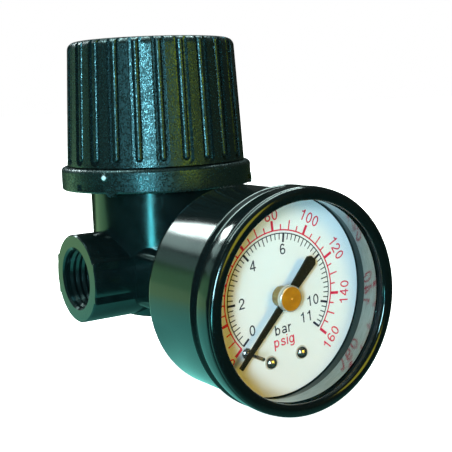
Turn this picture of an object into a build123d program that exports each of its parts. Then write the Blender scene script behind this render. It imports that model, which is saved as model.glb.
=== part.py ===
from build123d import *
from math import acos, asin, atan2, cos, degrees, pi, radians, sin, tan
import os

os.makedirs("parts", exist_ok=True)

# Miniature air pressure regulator with a pressure gauge on its front. Lengths are millimetres,
# angles degrees. The origin is the centre of the inlet port's face. +X runs from the inlet to the
# outlet, +Z is up along the knob, and the gauge faces -Y. Heights are counted from the port axis,
# depths from the knob axis towards the viewer.

# Clearances
press_gap = 0.02  # round a piece that is pressed in
slip_gap = 0.1  # round a still piece that slips into its seat
turn_gap = 0.05  # radial, round a spindle or a guided piece that moves
face_gap = 0.3  # between faces that move past each other

# Body
port_proud = 0.2  # port face beyond the collar
port_boss_radius = 9.2
port_flats_width = 17.6
port_flats_height = 8.4
port_radius = 6.15  # pitch radius of a 1/4 inch pipe thread
port_depth = 11.0
port_chamfer = 0.45
edge_break = 0.25
neck_radius = 14.3
neck_top = 18.1
head_radius = 17.2
head_height = 2.3
gauge_boss_width = 22.4
gauge_boss_height = 12.8
gauge_boss_reach = 16.8
gauge_boss_corner = 2.5
gauge_port_radius = 4.57  # pitch radius of a 1/8 inch pipe thread
gauge_port_depth = 8.0
valve_boss_radius = 8.5
valve_boss_drop = 9.35
throat_radius = 3.0
chamber_radius = 5.2
passage_radius = 1.6
gauge_passage_radius = 1.2
passage_wall = 0.6  # metal left between a passage and the valve seat
bowl_radius = 12.0
bowl_depth = 4.0

# Valve in the bottom of the body
seat_drop = 0.8  # lower face of the seat, below the port axis
seat_height = 1.8
seat_radius = 4.2
seat_hole_radius = 2.0
lip_height = 0.3
lip_width = 0.6
valve_travel = 0.8
closed_gap = 0.02
seal_height = 0.7
seal_radius = 3.4
poppet_head_radius = 3.6
poppet_head_height = 1.2
stem_radius = 0.9
shank_radius = 1.8
shank_length = 3.9
poppet_spring_radius = 2.7  # to the wire's centre
poppet_spring_length = 3.6
poppet_wire_radius = 0.25
poppet_coils = 4
plug_radius = 6.4
plug_recess = 0.1
plug_height = 4.25
plug_slot_width = 1.4
plug_slot_depth = 0.9
ring_wire_radius = 0.58
ring_depth = 2.2  # plug's outer end to the sealing ring's centre

# Diaphragm stack
diaphragm_thickness = 0.8
diaphragm_rim_gap = 0.3
fold_radius = 10.6  # knob axis to the middle of the diaphragm's fold
fold_outside = 1.5
fold_inside = 0.8
slip_ring_thickness = 0.4
plate_thickness = 1.2
plate_radius = 8.8
plate_rim_height = 1.0
plate_rim_width = 0.6
stud_flange_radius = 4.6
stud_flange_height = 1.1
stud_radius = 2.2
stud_bore_radius = 0.6
stud_head_radius = 2.9
stud_head_height = 0.8

# Range spring, nut and screw
spring_radius = 6.6  # to the wire's centre
spring_wire_radius = 0.8
spring_length = 13.0
spring_coils = 4.5
nut_radius = 8.8
nut_height = 3.2
nut_pilot_height = 1.0
key_width = 3.0
key_depth = 0.9
screw_radius = 4.0
screw_pitch = 1.25
knob_turns = 4  # over the nut's whole travel
screw_collar_radius = 5.4
screw_collar_height = 1.1
washer_thickness = 0.6
clip_thickness = 0.6
clip_groove_depth = 0.8
clip_radius = 5.5
clip_opening = 60
drive_width = 6.3  # across the flats of the screw's hexagon
drive_landing = 0.5  # round neck between the clip and the hexagon

# Bonnet
collar_wall = 3.0  # outside the body's head
collar_shoulder = 1.2  # wall over the diaphragm's rim
collar_skirt_gap = 0.1
collar_round = 0.9
barrel_radius = 14.2
barrel_wall = 1.8
bonnet_top_wall = 1.8
rib_rise = 2.2  # collar top to the snap rib
rib_height = 1.0
rib_width = 1.0
mark_count = 3  # groups of marks round the collar
recess_span = 21
recess_depth = 0.5
recess_rise = 0.45
recess_height = 1.35
recess_start = -172.6
second_recess_start = -140.5
pip_dome = 1.1  # radius of the ball that the pip is the top of
pip_height = 0.4
pip_angle = -150.3
pip_drop = 1.5  # below the collar's top
lug_radius = 1.1
lug_height = 0.3
lug_angle = -146.5

# Knob
knob_low_gap = 0.25
knob_ledge = 1.3  # collar's rim that shows round the knob
knob_taper = 1.4
knob_head_room = 4.4  # bonnet top to the knob's ceiling
knob_crown = 1.8
knob_wall = 2.6
knob_round = 1.7
knob_boss_radius = 5.4
hook_span = 40
hook_height = 0.9
hook_grip = 0.5
flute_count = 24
flute_clocking = 5
flute_width = 2.7
flute_depth = 0.9
flute_rise = 0.25  # knob's lower edge to the flute's round end
bead_radius = 0.76
bead_rise = 0.8  # flute's round end to the bead's

# Gauge
gauge_clocking = 5.4
engaged_length = 7.0  # of the stem's thread in its port
stem_thread_radius = 4.5
stem_neck_radius = 4.0
stem_neck_length = 0.8
stem_square = 11.0
stem_square_corner = 1.2
stem_bore_radius = 1.2
stem_flange_radius = 10.6
stem_flange_height = 2.0
case_radius = 19.63
case_wall = 0.7
stem_reach = 11.5  # gauge boss to the outside of the case's back
case_back_round = 1.5
case_hole_radius = 7.5
dial_room = 6.1  # dial to the case's rim
case_bead_width = 0.37
case_bead_length = 0.7
case_bead_setback = 1.6
socket_width = 8.0
socket_top = 5.0
socket_bottom = 16.4
socket_step = -2.4
socket_height = 6.6
socket_low_height = 2.0
case_screw_distance = 9.2
case_screw_radius = 0.9
case_screw_length = 1.8
case_screw_head_radius = 1.6
case_screw_head_height = 0.9
tube_radius = 14.6  # gauge axis to the middle of the tube
tube_width = 4.4
tube_thickness = 1.6
tube_wall = 0.3
tube_round = 0.7
tube_step = 1.0  # socket flange to the tube's back
tube_root = 261
tube_tip_angle = -20
tip_span = 7
tip_skin = 0.2
plate_sheet = 0.6
plate_space = 3.5
plate_ear = 1.8
pillar_radius = 0.9
top_pillar_height = 4.2
tooth_module = 0.2
pinion_teeth = 12
sector_teeth = 90
sector_teeth_cut = 12
backlash = 0.04
pressure_angle = 20
sector_setback = 1.4
sector_thickness = 0.8
pinion_setback = 1.1
pinion_length = 1.4
arbor_radius = 0.5
sector_arbor_radius = 0.6
sector_hub_radius = 1.6
teeth_past_mesh = 1  # at rest, beyond the line from arbor to arbor
web_hole_radius = 1.45
web_hole_distance = 5.25
tail_length = 3.5
tail_angle = -76
tail_width = 1.6
sector_swing = 36
link_setback = 0.2
link_thickness = 0.4
link_width = 1.6
link_pin_radius = 0.35
link_slot_spare = 0.15
link_slot_gap = 0.2
hair_start = 1.15
hair_step = 0.22
hair_half_turns = 9
hair_thickness = 0.1
hair_width = 0.5
hair_setback = 0.3
collet_radius = 0.85
movement_screw_across = -1.6
movement_screw_up = -4.2
movement_screw_low = -8.0
movement_screw_radius = 0.6
movement_screw_head_radius = 1.1
movement_screw_head_height = 0.7
movement_screw_length = 2.0
dial_gap = 0.23  # round the dial's edge
dial_thickness = 0.6
dial_hole_radius = 1.4
dial_screw_edge = 6.4  # in from the dial's edge
dial_screw_angle = 16.7  # either side of straight down
dial_screw_head_radius = 1.35
dial_screw_head_height = 1.1
dial_screw_radius = 0.7
stop_pin_edge = 6.6  # in from the dial's edge
stop_pin_radius = 0.35
stop_pin_gap = 1.6  # between the stop pin's end and the lens
stop_base_radius = 1.05
stop_base_height = 0.6
pointer_rest = -138.6
pointer_lift = 2.05  # dial face to the pointer's back
pointer_sheet = 0.4
pointer_reach = 15.5
pointer_tip_width = 0.75
pointer_root_width = 1.45
pointer_tail_reach = 9.0
pointer_tail_width = 2.35
pointer_tail_slant = 0.6
pointer_eye_radius = 2.1
hub_radius = 2.45
hub_front_height = 1.1
hub_tube_radius = 1.95
hub_neck_radius = 1.2
hub_dimple = 0.3
gasket_thickness = 0.5
lens_thickness = 1.1
lens_gap = 0.2  # round the lens's edge
lens_ring_length = 3.7
lens_ring_wall = 0.4
lens_ring_lip = 0.35
lens_ring_lip_length = 0.8
bezel_sheet = 0.45
bezel_lip = 0.9
window_lap = 1.85  # of the bezel's lip over the lens
bezel_round = 0.8
bezel_tail = 2.2  # crimped down behind the case's bead
bezel_crimp = 0.4
bezel_crimp_round = 0.35
bezel_groove = 0.15
bezel_groove_setback = 2.0
window_round = 0.5

# Reaches and radii about the knob axis
collar_radius = head_radius + slip_gap + collar_wall
port_reach = collar_radius + port_proud
knob_low_radius = collar_radius - knob_ledge
knob_top_radius = knob_low_radius - knob_taper
bore_radius = barrel_radius - barrel_wall
hook_inside = barrel_radius + rib_width - hook_grip

# Heights up the knob axis
nut_travel = knob_turns * screw_pitch
head_top = neck_top + head_height
slip_ring_low = head_top + diaphragm_thickness
collar_ceiling = slip_ring_low + slip_ring_thickness
collar_top = collar_ceiling + collar_shoulder
spring_seat = slip_ring_low + plate_thickness
nut_low = spring_seat + spring_length
nut_top = nut_low + nut_height
screw_collar_low = nut_top + face_gap
screw_collar_top = screw_collar_low + screw_collar_height
bonnet_ceiling = screw_collar_top + turn_gap + washer_thickness
bonnet_top = bonnet_ceiling + bonnet_top_wall
clip_low = bonnet_top + turn_gap
clip_top = clip_low + clip_thickness
drive_low = clip_top + drive_landing
knob_ceiling = bonnet_top + knob_head_room
knob_top = knob_ceiling + knob_crown
knob_low = collar_top + knob_low_gap
seat_face = -seat_drop
seat_top = seat_face + seat_height
seal_top = seat_face - lip_height - closed_gap
head_face = seal_top - seal_height
head_low = head_face - poppet_head_height
plug_low = -valve_boss_drop + plug_recess
plug_top = plug_low + plug_height
plug_floor = head_low - poppet_spring_length
stud_low = head_top - stud_flange_height
bowl_floor = head_top - bowl_depth
collar_low = neck_top - collar_skirt_gap
rib_low = collar_top + rib_rise
hook_top = rib_low - face_gap
guide_low = head_low - shank_length - valve_travel - face_gap
inlet_passage_height = seat_face - passage_wall - passage_radius
outlet_passage_height = seat_top + passage_wall + passage_radius
gauge_passage_height = seat_top + passage_wall + gauge_passage_radius

# Depths in front of the knob axis
thread_start = gauge_boss_reach - engaged_length
case_back = gauge_boss_reach + stem_reach
case_floor = case_back + case_wall
stem_flange_front = case_floor + stem_flange_height
socket_front = stem_flange_front + socket_height
back_plate_front = socket_front + plate_sheet
front_plate_back = back_plate_front + plate_space
dial_back = front_plate_back + plate_sheet
dial_face = dial_back + dial_thickness
tube_back = stem_flange_front + tube_step
tube_front = tube_back + tube_width
pointer_back = dial_face + pointer_lift
pointer_front = pointer_back + pointer_sheet
hub_front = pointer_front + hub_front_height
case_front = dial_face + dial_room
lens_back = case_front + gasket_thickness
lens_front = lens_back + lens_thickness
bezel_front = lens_front + bezel_lip
bead_back = case_front - case_bead_setback - case_bead_length
bezel_back = bead_back - turn_gap - bezel_tail
link_back = back_plate_front + link_setback
sector_back = back_plate_front + sector_setback
pinion_back = back_plate_front + pinion_setback
collet_back = pinion_back + pinion_length
hair_back = front_plate_back - hair_setback - hair_width

# Radii about the gauge axis
dial_radius = case_radius - case_wall - dial_gap
ring_outside = case_radius - case_wall - slip_gap
ring_inside = ring_outside - lens_ring_wall
bezel_inside = case_radius + case_bead_width + turn_gap
bezel_radius = bezel_inside + bezel_sheet
lens_radius = bezel_inside - lens_gap
window_radius = lens_radius - window_lap
dial_screw_distance = dial_radius - dial_screw_edge
stop_pin_distance = dial_radius - stop_pin_edge
sector_root = tooth_module * sector_teeth / 2 - 1.25 * tooth_module

knob_axis = Axis((port_reach, 0, 0), (0, 0, 1))
gauge_axis = Axis((port_reach, 0, 0), (0, -1, 0))


def level(height):
    """Level plane across the knob axis."""
    return Plane(origin=(port_reach, 0, height))


def upright(angle=0):
    """Section through the knob axis: its x is the radius towards this angle, its y the height."""
    outward = (cos(radians(angle)), sin(radians(angle)), 0)
    return Plane(origin=(port_reach, 0, 0), x_dir=outward, z_dir=(outward[1], -outward[0], 0))


def tangent(radius, angle, height):
    """Plane that touches a drum of this radius round the knob axis and faces outward."""
    outward = Vector(cos(radians(angle)), sin(radians(angle)), 0)
    spot = Vector(port_reach, 0, height) + outward * radius
    return Plane(origin=spot, x_dir=(-outward.Y, outward.X, 0), z_dir=outward)


def port_plane(reach, height=0):
    """Plane across the port axis, at this distance from the inlet's face, looking towards the outlet."""
    return Plane(origin=(reach, 0, height), x_dir=(0, 1, 0), z_dir=(1, 0, 0))


def front(depth, height=0):
    """Plane across the body, at this depth, facing the viewer."""
    return Plane(origin=(port_reach, -depth, height), x_dir=(1, 0, 0), z_dir=(0, -1, 0))


def on_dial(across, up):
    """Point of the gauge at depth 0, from its place on the dial."""
    turn = radians(gauge_clocking)
    return Vector(port_reach + across * cos(turn) - up * sin(turn), 0, across * sin(turn) + up * cos(turn))


def facing(depth, spot=(0, 0), angle=0):
    """Plane of the gauge at this depth, facing the viewer, its x turned by this angle on the dial."""
    turn = radians(gauge_clocking + angle)
    origin = on_dial(*spot) - Vector(0, depth, 0)
    return Plane(origin=origin, x_dir=(cos(turn), 0, sin(turn)), z_dir=(0, -1, 0))


def deep(spot=(0, 0), angle=0):
    """Section through a spindle of the gauge: its x is the radius towards this angle, its y the depth."""
    turn = radians(gauge_clocking + angle)
    return Plane(origin=on_dial(*spot), x_dir=(cos(turn), 0, sin(turn)), z_dir=(sin(turn), 0, -cos(turn)))


def spindle(spot=(0, 0)):
    """Axis of a spindle of the gauge, towards the viewer."""
    return Axis(on_dial(*spot), (0, -1, 0))


def polar(radius, angle):
    """Point at this radius and angle."""
    return radius * cos(radians(angle)), radius * sin(radians(angle))


def width_at(radius):
    """Width of the pointer's long arm at this distance from its spindle."""
    return pointer_root_width + (pointer_tip_width - pointer_root_width) * radius / pointer_reach


def band(inner, outer, low, high, mode=Mode.ADD):
    """Rectangle of a section, from one radius to another and from one height or depth to another."""
    with Locations(((inner + outer) / 2, (low + high) / 2)):
        Rectangle(outer - inner, high - low, mode=mode)


def dome(radius, height, base):
    """Half section of a domed head that stands on this height or depth."""
    ball = (radius ** 2 + height ** 2) / (2 * height)
    with Locations((0, base + height - ball)):
        Circle(ball)
    band(0, radius, base, base + height, mode=Mode.INTERSECT)


def tooth(teeth, angle):
    """Involute tooth at this angle, on a gear with this many teeth in all."""
    pitch = tooth_module * teeth / 2
    base = pitch * cos(radians(pressure_angle))
    root = pitch - 1.25 * tooth_module
    left, right = [], []
    for radius in (root - tooth_module / 4, max(base, root), pitch, pitch + tooth_module):
        slope = acos(min(1, base / radius))
        lean = tan(radians(pressure_angle)) - radians(pressure_angle) - tan(slope) + slope
        spread = degrees(pi / (2 * teeth) - backlash / (2 * pitch) + lean)
        left.append(polar(radius, angle - spread))
        right.append(polar(radius, angle + spread))
    Polygon(*left, *reversed(right), align=None)


def plate_outline(*ears):
    """Outline of a movement plate round these places, with the holes for both arbors."""
    with Locations(*ears):
        Circle(plate_ear)
    make_hull()
    Circle(arbor_radius + turn_gap, mode=Mode.SUBTRACT)
    with Locations(pivot):
        Circle(sector_arbor_radius + turn_gap, mode=Mode.SUBTRACT)


def save(piece, name):
    """Labels the piece and writes it."""
    piece.part.label = name
    export_step(piece.part, f"parts/{name}.step")


# Places on the gauge, across and up from its axis
pivot = (0, -tooth_module * (pinion_teeth + sector_teeth) / 2)
dial_screw_spots = [polar(dial_screw_distance, -90 + side * dial_screw_angle) for side in (-1, 1)]
pillar_spots = [(0, top_pillar_height), dial_screw_spots[0]]
movement_screw_spots = [(movement_screw_across, up) for up in (movement_screw_up, movement_screw_low)]
case_screw_spots = [(case_screw_distance, 0), (-case_screw_distance, 0)]
stop_pin_offset = stop_pin_radius + turn_gap + width_at(stop_pin_distance) / 2
stop_pin_turn = degrees(asin(stop_pin_offset / stop_pin_distance))
stop_pin_spot = polar(stop_pin_distance, pointer_rest + stop_pin_turn)
tip_pin = Vector(*polar(tube_radius, tube_tip_angle - tip_span / 2))
tail_pin = Vector(*pivot) + Vector(*polar(tail_length, tail_angle))
tail_pin_swung = Vector(*pivot) + Vector(*polar(tail_length, tail_angle + sector_swing))
link_angle = degrees(atan2(tip_pin.Y - tail_pin.Y, tip_pin.X - tail_pin.X))

# Body: ports on one axis, neck and head above, gauge bosses front and back, valve boss below
with BuildPart() as body:
    with BuildSketch(port_plane(0)):
        Circle(port_boss_radius)
        Rectangle(port_flats_width, port_flats_height)
    extrude(amount=2 * port_reach)
    port_faces = faces().sort_by(Axis.X)
    chamfer(port_faces[0].edges() + port_faces[-1].edges(), length=edge_break)
    with BuildSketch(level(0)):
        Circle(neck_radius)
    extrude(amount=neck_top)
    with BuildSketch(level(neck_top)):
        Circle(head_radius)
    extrude(amount=head_height)
    with BuildSketch(level(-valve_boss_drop)):
        Circle(valve_boss_radius)
    extrude(amount=valve_boss_drop)
    with BuildSketch(front(-gauge_boss_reach)):
        RectangleRounded(gauge_boss_width, gauge_boss_height, gauge_boss_corner)
    extrude(amount=2 * gauge_boss_reach)
    boss_faces = faces().sort_by(Axis.Y)
    chamfer(boss_faces[0].edges() + boss_faces[-1].edges(), length=edge_break)
    for mouth, inward in ((0, 1), (2 * port_reach, -1)):
        with BuildSketch(port_plane(mouth)):
            Circle(port_radius)
        extrude(amount=inward * port_depth, mode=Mode.SUBTRACT)
        with BuildSketch(port_plane(mouth)):
            Circle(port_radius + port_chamfer)
        extrude(amount=inward * port_chamfer, taper=45, mode=Mode.SUBTRACT)
    for side in (1, -1):
        with BuildSketch(front(side * gauge_boss_reach)):
            Circle(gauge_port_radius)
        extrude(amount=-side * gauge_port_depth, mode=Mode.SUBTRACT)
        with BuildSketch(front(side * gauge_boss_reach, gauge_passage_height)):
            Circle(gauge_passage_radius)
        extrude(amount=-side * gauge_boss_reach, mode=Mode.SUBTRACT)
    with BuildSketch(level(bowl_floor)):
        Circle(bowl_radius)
    extrude(amount=bowl_depth, mode=Mode.SUBTRACT)
    with BuildSketch(level(seat_face)):
        Circle(throat_radius)
    extrude(amount=bowl_floor - seat_face, mode=Mode.SUBTRACT)
    with BuildSketch(level(seat_face)):
        Circle(seat_radius + press_gap)
    extrude(amount=seat_height, mode=Mode.SUBTRACT)
    with BuildSketch(level(plug_top)):
        Circle(chamber_radius)
    extrude(amount=seat_face - plug_top, mode=Mode.SUBTRACT)
    with BuildSketch(level(-valve_boss_drop)):
        Circle(plug_radius + slip_gap)
    extrude(amount=plug_height + plug_recess, mode=Mode.SUBTRACT)
    with BuildSketch(port_plane(port_depth, inlet_passage_height)):
        Circle(passage_radius)
    extrude(amount=port_reach - port_depth, mode=Mode.SUBTRACT)
    with BuildSketch(port_plane(port_reach, outlet_passage_height)):
        Circle(passage_radius)
    extrude(amount=port_reach - port_depth, mode=Mode.SUBTRACT)
save(body, "body")

# Valve
with BuildPart() as valve_seat:
    with BuildSketch(upright()):
        band(seat_hole_radius, seat_radius, seat_face, seat_top)
        band(seat_hole_radius, seat_hole_radius + lip_width, seat_face - lip_height, seat_face)
    revolve(axis=knob_axis)
save(valve_seat, "valve_seat")

with BuildPart() as valve_poppet:
    with BuildSketch(upright()):
        band(0, stem_radius, head_face, stud_low - closed_gap)
        band(0, poppet_head_radius, head_low, head_face)
        band(0, shank_radius, head_low - shank_length, head_low)
    revolve(axis=knob_axis)
    chamfer(edges().sort_by(Axis.Z)[0], length=edge_break)
save(valve_poppet, "valve_poppet")

with BuildPart() as poppet_seal:
    with BuildSketch(upright()):
        band(stem_radius + press_gap, seal_radius, head_face, seal_top)
    revolve(axis=knob_axis)
save(poppet_seal, "poppet_seal")

with BuildPart() as poppet_spring:
    with BuildLine(level(plug_floor)):
        Helix(pitch=poppet_spring_length / poppet_coils, height=poppet_spring_length,
              radius=poppet_spring_radius)
    with BuildSketch(Plane(origin=(port_reach + poppet_spring_radius, 0, plug_floor), z_dir=(0, 1, 0))):
        Circle(poppet_wire_radius)
    sweep(is_frenet=True)
    split(bisect_by=level(plug_floor), keep=Keep.TOP)
    split(bisect_by=level(head_low), keep=Keep.BOTTOM)
save(poppet_spring, "poppet_spring")

with BuildPart() as bottom_plug:
    with BuildSketch(level(plug_low)):
        Circle(plug_radius)
    extrude(amount=plug_height)
    chamfer(edges().sort_by(Axis.Z)[0], length=edge_break)
    with BuildSketch(level(plug_floor)):
        Circle(poppet_spring_radius + poppet_wire_radius + face_gap)
    extrude(amount=plug_top - plug_floor, mode=Mode.SUBTRACT)
    with BuildSketch(level(guide_low)):
        Circle(shank_radius + turn_gap)
    extrude(amount=plug_top - guide_low, mode=Mode.SUBTRACT)
    with BuildSketch(upright()):
        band(plug_radius + slip_gap - 2 * ring_wire_radius, plug_radius + slip_gap,
             plug_low + ring_depth - ring_wire_radius, plug_low + ring_depth + ring_wire_radius)
    revolve(axis=knob_axis, mode=Mode.SUBTRACT)
    with BuildSketch(level(plug_low)):
        Rectangle(2 * plug_radius, plug_slot_width)
    extrude(amount=plug_slot_depth, mode=Mode.SUBTRACT)
save(bottom_plug, "bottom_plug")

with BuildPart() as plug_o_ring:
    with BuildSketch(upright()):
        with Locations((plug_radius + slip_gap - ring_wire_radius, plug_low + ring_depth)):
            Circle(ring_wire_radius - press_gap)
    revolve(axis=knob_axis)
save(plug_o_ring, "plug_o_ring")

with BuildPart() as rear_port_plug:
    with BuildSketch(front(-gauge_boss_reach)):
        Circle(stem_thread_radius)
    extrude(amount=engaged_length)
    chamfer(edges().sort_by(Axis.Y)[-1], length=edge_break)
    with BuildSketch(front(-gauge_boss_reach)):
        RegularPolygon(radius=stem_thread_radius / 2, side_count=6, major_radius=False)
    extrude(amount=engaged_length / 2, mode=Mode.SUBTRACT)
save(rear_port_plug, "rear_port_plug")

# Diaphragm stack
with BuildPart() as diaphragm:
    with BuildSketch(upright()):
        band(stud_radius + press_gap, head_radius - diaphragm_rim_gap, head_top, slip_ring_low)
        with Locations((fold_radius, head_top)):
            Circle(fold_outside)
            Circle(fold_inside, mode=Mode.SUBTRACT)
        band(0, head_radius, head_top - fold_outside, head_top, mode=Mode.SUBTRACT)
    revolve(axis=knob_axis)
save(diaphragm, "diaphragm")

with BuildPart() as slip_ring:
    with BuildSketch(upright()):
        band(fold_radius + fold_outside + face_gap, head_radius - diaphragm_rim_gap,
             slip_ring_low, collar_ceiling)
    revolve(axis=knob_axis)
save(slip_ring, "slip_ring")

with BuildPart() as spring_plate:
    with BuildSketch(upright()):
        band(stud_radius + press_gap, plate_radius, slip_ring_low, spring_seat)
        band(plate_radius - plate_rim_width, plate_radius, spring_seat, spring_seat + plate_rim_height)
    revolve(axis=knob_axis)
save(spring_plate, "spring_plate")

with BuildPart() as relief_stud:
    with BuildSketch(upright()):
        band(stud_bore_radius, stud_flange_radius, stud_low, head_top)
        band(stud_bore_radius, stud_radius, head_top, spring_seat)
        band(stud_bore_radius, stud_head_radius, spring_seat, spring_seat + stud_head_height)
    revolve(axis=knob_axis)
save(relief_stud, "relief_stud")

# Range spring, its nut, and the adjusting screw with its washer and clip
with BuildPart() as range_spring:
    with BuildLine(level(spring_seat)):
        Helix(pitch=spring_length / spring_coils, height=spring_length, radius=spring_radius)
    with BuildSketch(Plane(origin=(port_reach + spring_radius, 0, spring_seat), z_dir=(0, 1, 0))):
        Circle(spring_wire_radius)
    sweep(is_frenet=True)
    split(bisect_by=level(spring_seat), keep=Keep.TOP)
    split(bisect_by=level(nut_low), keep=Keep.BOTTOM)
save(range_spring, "range_spring")

with BuildPart() as spring_nut:
    with BuildSketch(level(nut_low)):
        Circle(nut_radius)
        Rectangle(2 * (barrel_radius - barrel_wall + key_depth - slip_gap), key_width - 2 * slip_gap)
    extrude(amount=nut_height)
    with BuildSketch(level(nut_low - nut_pilot_height)):
        Circle(spring_radius - spring_wire_radius - face_gap)
    extrude(amount=nut_pilot_height)
    with BuildSketch(level(nut_low - nut_pilot_height)):
        Circle(screw_radius + turn_gap)
    extrude(amount=nut_height + nut_pilot_height, mode=Mode.SUBTRACT)
save(spring_nut, "spring_nut")

with BuildPart() as adjusting_screw:
    with BuildSketch(upright()):
        band(0, screw_radius, nut_low - nut_pilot_height - nut_travel + face_gap, drive_low)
        band(0, screw_collar_radius, screw_collar_low, screw_collar_top)
        band(screw_radius - clip_groove_depth, screw_radius, clip_low, clip_top, mode=Mode.SUBTRACT)
    revolve(axis=knob_axis)
    with BuildSketch(level(drive_low)):
        RegularPolygon(radius=drive_width / 2, side_count=6, major_radius=False)
    extrude(amount=knob_ceiling - face_gap - drive_low)
save(adjusting_screw, "adjusting_screw")

with BuildPart() as thrust_washer:
    with BuildSketch(upright()):
        band(screw_radius + turn_gap, screw_collar_radius,
             bonnet_ceiling - washer_thickness, bonnet_ceiling)
    revolve(axis=knob_axis)
save(thrust_washer, "thrust_washer")

with BuildPart() as screw_clip:
    with BuildSketch(upright(clip_opening / 2)):
        band(screw_radius - clip_groove_depth + press_gap, clip_radius,
             clip_low + press_gap, clip_top - press_gap)
    revolve(axis=knob_axis, revolution_arc=360 - clip_opening)
save(screw_clip, "screw_clip")

# Bonnet: collar over the body's head, barrel round the spring, rib that the knob snaps under
with BuildPart() as bonnet:
    with BuildSketch(upright()):
        band(head_radius + slip_gap, collar_radius, collar_low, collar_top)
        fillet(vertices().group_by(Axis.X)[-1].sort_by(Axis.Y)[-1], radius=collar_round)
        fillet(vertices().group_by(Axis.X)[-1].sort_by(Axis.Y)[0], radius=collar_round / 2)
        band(bore_radius, head_radius + slip_gap, collar_ceiling, collar_top)
        band(bore_radius, barrel_radius, collar_ceiling, bonnet_top)
        band(screw_radius + turn_gap, barrel_radius, bonnet_ceiling, bonnet_top)
        band(barrel_radius, barrel_radius + rib_width, rib_low, rib_low + rib_height)
    revolve(axis=knob_axis)
    with BuildSketch(level(collar_ceiling)):
        Rectangle(2 * (bore_radius + key_depth), key_width)
    extrude(amount=bonnet_ceiling - collar_ceiling, mode=Mode.SUBTRACT)
    for mark in range(mark_count):
        turn = 360 / mark_count * mark
        for start in (recess_start, second_recess_start):
            with BuildSketch(upright(start + turn)):
                band(collar_radius - recess_depth, collar_radius + recess_depth,
                     collar_low + recess_rise, collar_low + recess_rise + recess_height)
            revolve(axis=knob_axis, revolution_arc=recess_span, mode=Mode.SUBTRACT)
        lug_place = tangent(collar_radius - lug_radius, lug_angle + turn, collar_low + lug_radius / 2)
        with BuildSketch(lug_place):
            Circle(lug_radius)
        extrude(amount=lug_radius + lug_height)
    with Locations(tangent(collar_radius + pip_height - pip_dome, pip_angle, collar_top - pip_drop)):
        Sphere(pip_dome)
save(bonnet, "bonnet")

# Knob: tapered cup with flutes, a bead along each flute, a hexagon socket and snap hooks
knob_height = knob_top - knob_low
taper_angle = degrees(asin((knob_low_radius - knob_top_radius) / knob_height))
wall_normal = Vector(cos(radians(taper_angle)), 0, sin(radians(taper_angle)))
wall_up = Vector(-wall_normal.Z, 0, wall_normal.X)
flute_start = Vector(port_reach + knob_low_radius, 0, knob_low) + wall_up * (flute_rise + flute_width / 2)
flute_foot = flute_start - wall_normal * flute_depth
bead_start = flute_foot + wall_up * (bead_rise + bead_radius - flute_width / 2)
with BuildPart() as flute:
    with BuildSketch(Plane(origin=flute_foot, x_dir=(0, 1, 0), z_dir=wall_normal)):
        Circle(flute_width / 2)
        with Locations((0, knob_height / 2)):
            Rectangle(flute_width, knob_height)
    extrude(amount=2 * flute_depth)
    with BuildSketch(Plane(origin=bead_start, x_dir=(0, 1, 0), z_dir=wall_up)):
        Circle(bead_radius)
    extrude(amount=knob_height, mode=Mode.SUBTRACT)
    with Locations(bead_start):
        Sphere(bead_radius, mode=Mode.SUBTRACT)

with BuildPart() as knob:
    with BuildSketch(upright()):
        Polygon((knob_low_radius - knob_wall, knob_low), (knob_low_radius, knob_low),
                (knob_top_radius, knob_top), (0, knob_top), (0, knob_ceiling),
                (knob_top_radius - knob_wall, knob_ceiling), align=None)
        fillet(vertices().group_by(Axis.Y)[-1].sort_by(Axis.X)[-1], radius=knob_round)
        band(0, knob_boss_radius, drive_low + face_gap, knob_ceiling)
    revolve(axis=knob_axis)
    with BuildSketch(level(drive_low)):
        RegularPolygon(radius=drive_width / 2 + turn_gap, side_count=6, major_radius=False)
    extrude(amount=knob_ceiling - drive_low, mode=Mode.SUBTRACT)
    for hook in range(mark_count):
        with BuildSketch(upright(360 / mark_count * hook)):
            band(hook_inside, knob_low_radius - knob_wall / 2, hook_top - hook_height, hook_top)
        revolve(axis=knob_axis, revolution_arc=hook_span)
    for place in range(flute_count):
        add(flute.part.rotate(knob_axis, flute_clocking + 360 / flute_count * place), mode=Mode.SUBTRACT)
save(knob, "knob")

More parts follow.
